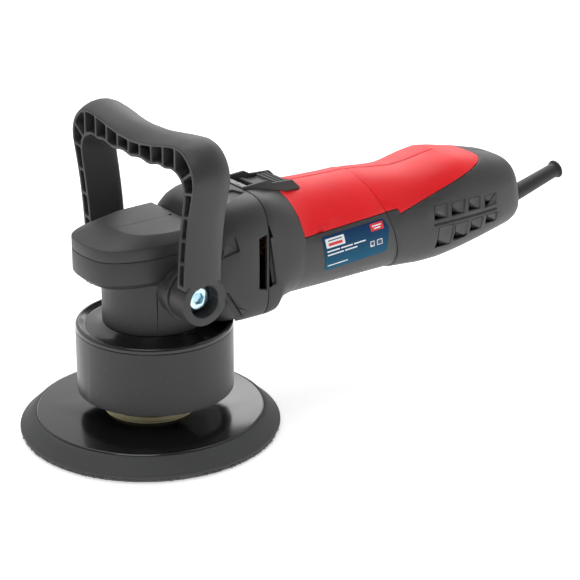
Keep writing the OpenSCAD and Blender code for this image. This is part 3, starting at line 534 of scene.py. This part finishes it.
def rounded(corners, radius):
    """The corners of a flat outline, each replaced by a short curve."""
    points = []
    for i, corner in enumerate(corners):
        here = Vector(corner)
        before = (Vector(corners[i - 1]) - here).normalized() * radius
        after = (Vector(corners[(i + 1) % len(corners)]) - here).normalized() * radius
        for t in (0, 0.25, 0.5, 0.75, 1):
            points.append(here + before * (1 - t) ** 2 + after * t ** 2)
    return points


def on_label(u, v):
    """Place on the label's side view, from its lower left (0, 0) to its upper right (1, 1)."""
    low = Vector(LABEL_CORNERS[0]).lerp(Vector(LABEL_CORNERS[3]), u)
    high = Vector(LABEL_CORNERS[1]).lerp(Vector(LABEL_CORNERS[2]), u)
    return low.lerp(high, v)


def make_label():
    """The rating label, with plain blocks and bars in place of its print."""
    corners = LABEL_CORNERS[:3] + [LABEL_BEND] + LABEL_CORNERS[3:]
    label = draped("rating_label_finished", rounded(corners, LABEL_ROUND), LABEL_LIFT,
                   materials["label_film"])
    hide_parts("rating_label")
    for i, (ink, left, bottom, right, top, radius, lift) in enumerate(LABEL_PRINT):
        places = ((left, bottom), (left, top), (right, top), (right, bottom))
        outline = rounded([on_label(u, v) for u, v in places], radius)
        draped("label_print_%d" % i, outline, LABEL_LIFT + lift, inks[ink])


def add_switch_plate():
    """Light plate in front of the switch knob, with plain marks."""
    low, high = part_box("switch_bezel")
    knob_low, knob_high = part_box("switch_knob")
    half = knob_high.y / MM
    front = low.x / MM
    rear = knob_low.x / MM - PLATE_GAP
    block("switch_plate", (front + PLATE_INSET, -half, PLATE_TOP - PLATE_THICK),
          (rear, half, PLATE_TOP), PLATE_BEVEL, materials["switch_grey"], "switch_grey")
    for i, (away, left, width) in enumerate(MARKS):
        block("switch_mark_%d" % i, (front + away, left, PLATE_TOP - MARK_SINK),
              (front + away + MARK_LENGTH, left + width, PLATE_TOP + MARK_RISE), MARK_BEVEL,
              materials["soft_black"], "switch_grey")


def add_cap_seam():
    """Fine mould line along the middle of the gear head's top, drawn in a darker black that paints
    the shade of its crease, with a near-black matte dot behind it that paints the shade of the dark
    dot there.
    """
    low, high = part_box("gear_case_cap")
    top = high.z / MM
    front, rear = low.x / MM + SEAM_FRONT, high.x / MM - SEAM_REAR
    # The seam's darker black is painted shade of the crease along the cap's top.
    block("cap_seam", (front, -SEAM_HALF, top - SEAM_SINK), (rear, SEAM_HALF, top + SEAM_RISE),
          SEAM_BEVEL, materials["soft_black"], "soft_black")
    # The dot's near-black matte colour is painted shade of the dark dot on the cap.
    block("cap_dot_painted_shade", (rear - DOT_HALF, -DOT_HALF, top - SEAM_SINK),
          (rear + DOT_HALF, DOT_HALF, top + DOT_RISE), DOT_BEVEL, inks["black"],
          "soft_black")


def add_loop(bm, root, out, side, random):
    """One loop of the hook cloth: a small slab that narrows from its root to its tip."""
    length = random.uniform(*FUZZ_LENGTH) * MM
    wide = random.uniform(*FUZZ_HALF_WIDTH) * MM
    z0 = random.uniform(*FUZZ_BOTTOM) * MM
    z1 = z0 + random.uniform(*FUZZ_HEIGHT) * MM
    lean = random.uniform(-FUZZ_LEAN, FUZZ_LEAN) * MM
    corners = [root - side * wide, root + side * wide,
               root + out * length + side * (wide * FUZZ_TIP + lean),
               root + out * length - side * (wide * FUZZ_TIP - lean)]
    bottom = [bm.verts.new((c.x, c.y, z0)) for c in corners]
    top = [bm.verts.new((c.x, c.y, z1)) for c in corners]
    bm.faces.new(bottom[::-1])
    bm.faces.new(top)
    for k in range(4):
        bm.faces.new((bottom[k], bottom[(k + 1) % 4], top[(k + 1) % 4], top[k]))


def add_hook_fuzz():
    """Uneven loops that stick out all round the hook cloth's edge, under the pad."""
    low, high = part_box("hook_face")
    middle = (low + high) / 2
    reach = (high.x - low.x) / 2
    random = Random(FUZZ_SEED)
    bm = bmesh.new()
    for i in range(FUZZ_COUNT):
        angle = math.tau * (i + random.uniform(-FUZZ_SHIFT, FUZZ_SHIFT)) / FUZZ_COUNT
        out = Vector((math.cos(angle), math.sin(angle), 0))
        side = Vector((-out.y, out.x, 0))
        root = Vector((middle.x, middle.y, 0)) + out * (reach - FUZZ_ROOT * MM)
        add_loop(bm, root, out, side, random)
    settle(piece_from(bm, "hook_fuzz"), materials["hook_cloth"], "pad", "hook_cloth")


# ---------- the scene ----------

materials = make_materials()
inks = make_inks()
add_camera()
add_studio()
for name, node in nodes.items():
    node.data.materials.clear()
    node.data.materials.append(materials[rows[name]["material_slot"]])
for name, width in EDGE_WIDTHS.items():
    finish_node(name, width, **EDGE_WAYS.get(name, {}))
make_label()
add_switch_plate()
add_cap_seam()
add_hook_fuzz()
